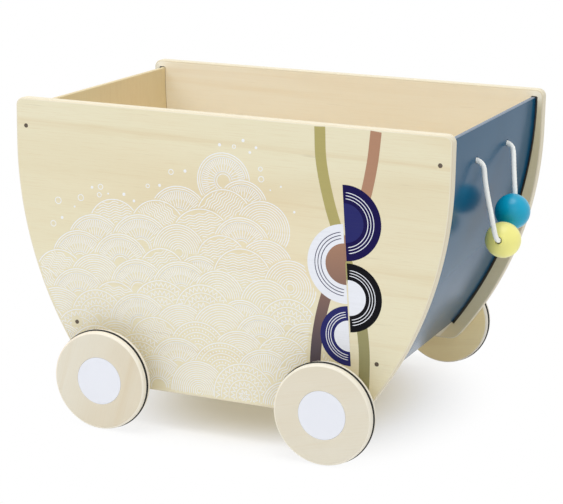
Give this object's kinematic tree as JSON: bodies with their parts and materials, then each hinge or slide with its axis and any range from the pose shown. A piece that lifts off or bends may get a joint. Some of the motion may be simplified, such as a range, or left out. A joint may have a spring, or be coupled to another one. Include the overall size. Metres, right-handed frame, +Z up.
{
  "type": "rolling toy cart",
  "caption": "Open plywood toy cart with bowl-shaped side panels, curved blue end panels, rubber-tyred wooden wheels and a pull cord with beads.",
  "frame": {"origin": "on the floor under the middle of the cart", "axes": "+Z up, +X towards the end with the pull cord, +Y towards the cart's left side"},
  "size_m": [0.4782, 0.373, 0.318],
  "materials": {
    "side_panel_plywood": "satin lacquer",
    "blue_painted_plywood": "satin paint",
    "floor_plywood": "satin lacquer",
    "dark_screw": "dark bronze",
    "axle_steel": "zinc plated",
    "spacer_nylon": "matte",
    "wheel_wood": "satin lacquer",
    "tyre_rubber": "matte",
    "nut_steel": "zinc plated",
    "cap_white": "satin",
    "cord_white": "braided",
    "bead_yellow_paint": "satin paint",
    "bead_blue_paint": "satin paint"
  },
  "bodies": {
    "tub": {"side_panel_right": "side_panel_plywood", "side_panel_left": "side_panel_plywood", "end_panel_front": "blue_painted_plywood", "end_panel_rear": "blue_painted_plywood", "floor_panel": "floor_plywood", "panel_screw_front_right_upper": "dark_screw", "panel_screw_front_right_lower": "dark_screw", "panel_screw_rear_right_upper": "dark_screw", "panel_screw_rear_right_lower": "dark_screw", "panel_screw_front_left_upper": "dark_screw", "panel_screw_front_left_lower": "dark_screw", "panel_screw_rear_left_upper": "dark_screw", "panel_screw_rear_left_lower": "dark_screw", "axle_front": "axle_steel", "axle_rear": "axle_steel", "axle_spacer_front_right": "spacer_nylon", "axle_spacer_front_left": "spacer_nylon", "axle_spacer_rear_right": "spacer_nylon", "axle_spacer_rear_left": "spacer_nylon", "push_nut_front_right": "nut_steel", "push_nut_front_left": "nut_steel", "push_nut_rear_right": "nut_steel", "push_nut_rear_left": "nut_steel", "pull_cord": "cord_white", "cord_knot_right": "cord_white", "cord_knot_left": "cord_white"},
    "front_right_wheel": {"wheel_front_right": "wheel_wood", "tyre_front_right": "tyre_rubber", "hub_cap_front_right": "cap_white"},
    "front_left_wheel": {"wheel_front_left": "wheel_wood", "tyre_front_left": "tyre_rubber", "hub_cap_front_left": "cap_white"},
    "rear_right_wheel": {"wheel_rear_right": "wheel_wood", "tyre_rear_right": "tyre_rubber", "hub_cap_rear_right": "cap_white"},
    "rear_left_wheel": {"wheel_rear_left": "wheel_wood", "tyre_rear_left": "tyre_rubber", "hub_cap_rear_left": "cap_white"},
    "yellow_bead": {"bead_yellow": "bead_yellow_paint"},
    "blue_bead": {"bead_blue": "bead_blue_paint"}
  },
  "joints": [
    {"name": "front_right_wheel_spin", "type": "hinge", "parent": "tub", "child": "front_right_wheel", "pos_m": [0.11752, -0.179, 0.0502], "axis": [0, 1, 0], "continuous": true},
    {"name": "front_left_wheel_spin", "type": "hinge", "parent": "tub", "child": "front_left_wheel", "pos_m": [0.11752, 0.179, 0.0502], "axis": [0, 1, 0], "continuous": true},
    {"name": "rear_right_wheel_spin", "type": "hinge", "parent": "tub", "child": "rear_right_wheel", "pos_m": [-0.11752, -0.179, 0.0502], "axis": [0, 1, 0], "continuous": true},
    {"name": "rear_left_wheel_spin", "type": "hinge", "parent": "tub", "child": "rear_left_wheel", "pos_m": [-0.11752, 0.179, 0.0502], "axis": [0, 1, 0], "continuous": true},
    {"name": "yellow_bead_spin", "type": "hinge", "parent": "tub", "child": "yellow_bead", "pos_m": [0.23595, -0.01975, 0.19545], "axis": [0, 0.9851, -0.1719], "continuous": true},
    {"name": "blue_bead_spin", "type": "hinge", "parent": "tub", "child": "blue_bead", "pos_m": [0.23388, 0.01615, 0.21626], "axis": [0, 0.3923, 0.9198], "continuous": true}
  ]
}
